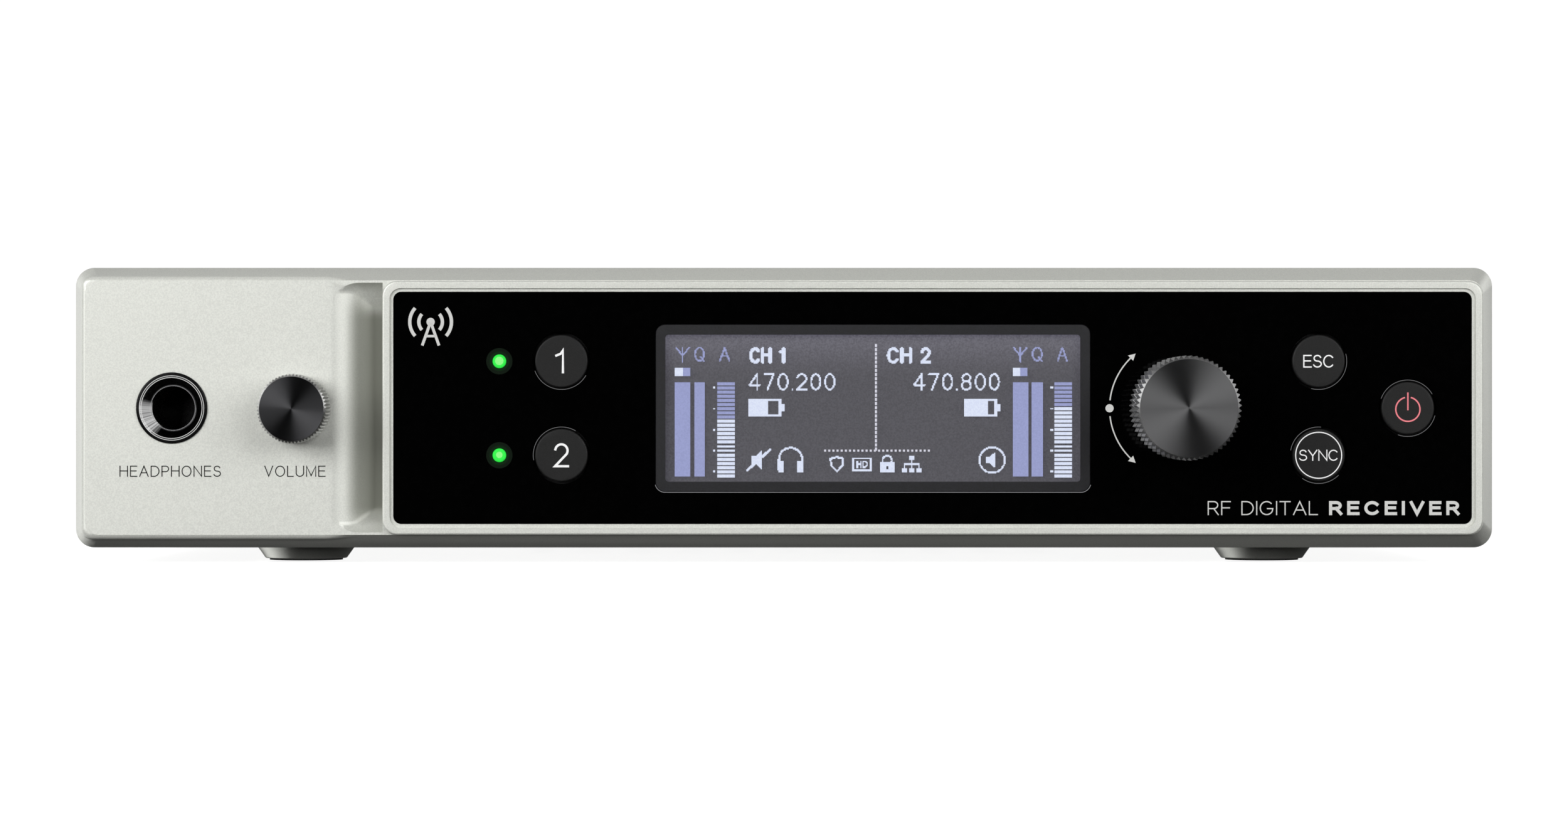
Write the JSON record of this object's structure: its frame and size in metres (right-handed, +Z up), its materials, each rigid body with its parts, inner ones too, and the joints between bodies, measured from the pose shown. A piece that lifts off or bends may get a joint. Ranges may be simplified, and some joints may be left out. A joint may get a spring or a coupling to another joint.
{
  "type": "wireless microphone receiver",
  "caption": "Half-rack wireless microphone receiver with display, jog dial, volume knob, headphone socket and push buttons.",
  "frame": {"origin": "floor level under the middle of the bounding box", "axes": "front panel faces -Y, +X to the right seen from the front, +Z up"},
  "size_m": [0.212, 0.189, 0.044],
  "materials": {
    "light_grey_paint": "satin",
    "gloss_black": "gloss",
    "display_grey": "matte",
    "display_glass": "clear",
    "display_module": "matte",
    "button_grey": "matte",
    "dome_silicone": "matte",
    "green_lamp": "gloss",
    "dark_aluminium": "anodised, radially brushed",
    "steel": "brushed",
    "black_plastic": "matte",
    "nickel": "bright",
    "gold_brass": "gold plated",
    "silver_brass": "silver plated",
    "board_green": "satin",
    "tin": "bright",
    "ribbon": "satin",
    "foot_rubber": "matte",
    "black_screw": "satin",
    "black_metal": "satin"
  },
  "bodies": {
    "chassis": {"antenna_contacts": "gold_brass", "antenna_nuts": "nickel", "antenna_sockets": "nickel", "bezel_frame": "light_grey_paint", "board_screws": "steel", "board_standoffs": "nickel", "bottom_tray": "light_grey_paint", "bracket_inserts": "steel", "cable_hook": "black_metal", "channel_one_dome": "dome_silicone", "channel_two_dome": "dome_silicone", "cover_screws": "black_screw", "display_glass": "display_glass", "display_module": "display_module", "display_surround": "display_grey", "encoder_body": "black_plastic", "encoder_nut": "nickel", "escape_dome": "dome_silicone", "fascia_panel": "gloss_black", "feet": "light_grey_paint", "foot_pads": "foot_rubber", "front_board": "board_green", "front_casting": "light_grey_paint", "front_ribbon": "ribbon", "headphone_board": "board_green", "headphone_contacts": "gold_brass", "headphone_nut": "nickel", "headphone_ribbon": "ribbon", "headphone_ring": "black_plastic", "headphone_socket": "black_plastic", "jack_nuts": "nickel", "jack_sockets": "black_plastic", "jog_dome": "steel", "main_board": "board_green", "network_contacts": "gold_brass", "network_socket": "tin", "power_dome": "dome_silicone", "power_pin": "nickel", "power_socket": "black_plastic", "rear_panel": "light_grey_paint", "rear_screws": "black_screw", "shield_cans": "tin", "status_lamps": "green_lamp", "sync_dome": "dome_silicone", "top_cover": "light_grey_paint", "volume_nut": "nickel", "volume_pot": "black_plastic", "xlr_pins": "silver_brass", "xlr_screws": "black_screw", "xlr_sockets": "black_metal"},
    "channel_one_key": {"channel_one_button": "button_grey"},
    "channel_two_key": {"channel_two_button": "button_grey"},
    "escape_key": {"escape_button": "button_grey"},
    "sync_key": {"sync_button": "button_grey"},
    "power_key": {"power_button": "button_grey"},
    "jog_rotor": {"encoder_rotor": "black_plastic"},
    "jog": {"jog_dial": "dark_aluminium", "jog_shaft": "steel"},
    "volume": {"volume_knob": "dark_aluminium", "volume_shaft": "steel"}
  },
  "joints": [
    {"name": "channel_one_press", "type": "slide", "parent": "chassis", "child": "channel_one_key", "axis": [0, 1, 0], "range_m": [0, 0.0008], "stiffness_N_per_m": 400, "deforming": ["channel_one_dome"]},
    {"name": "channel_two_press", "type": "slide", "parent": "chassis", "child": "channel_two_key", "axis": [0, 1, 0], "range_m": [0, 0.0008], "stiffness_N_per_m": 400, "deforming": ["channel_two_dome"]},
    {"name": "escape_press", "type": "slide", "parent": "chassis", "child": "escape_key", "axis": [0, 1, 0], "range_m": [0, 0.0008], "stiffness_N_per_m": 400, "deforming": ["escape_dome"]},
    {"name": "sync_press", "type": "slide", "parent": "chassis", "child": "sync_key", "axis": [0, 1, 0], "range_m": [0, 0.0008], "stiffness_N_per_m": 400, "deforming": ["sync_dome"]},
    {"name": "power_press", "type": "slide", "parent": "chassis", "child": "power_key", "axis": [0, 1, 0], "range_m": [0, 0.0008], "stiffness_N_per_m": 400, "deforming": ["power_dome"]},
    {"name": "jog_turn", "type": "hinge", "parent": "chassis", "child": "jog_rotor", "pos_m": [0.05886, -0.078, 0.02297], "axis": [0, -1, 0], "continuous": true},
    {"name": "jog_press", "type": "slide", "parent": "jog_rotor", "child": "jog", "axis": [0, 1, 0], "range_m": [0, 0.0005], "stiffness_N_per_m": 600, "deforming": ["jog_dome"]},
    {"name": "volume_turn", "type": "hinge", "parent": "chassis", "child": "volume", "pos_m": [-0.07242, -0.078, 0.02288], "axis": [0, -1, 0], "range_deg": [-150, 150]}
  ]
}
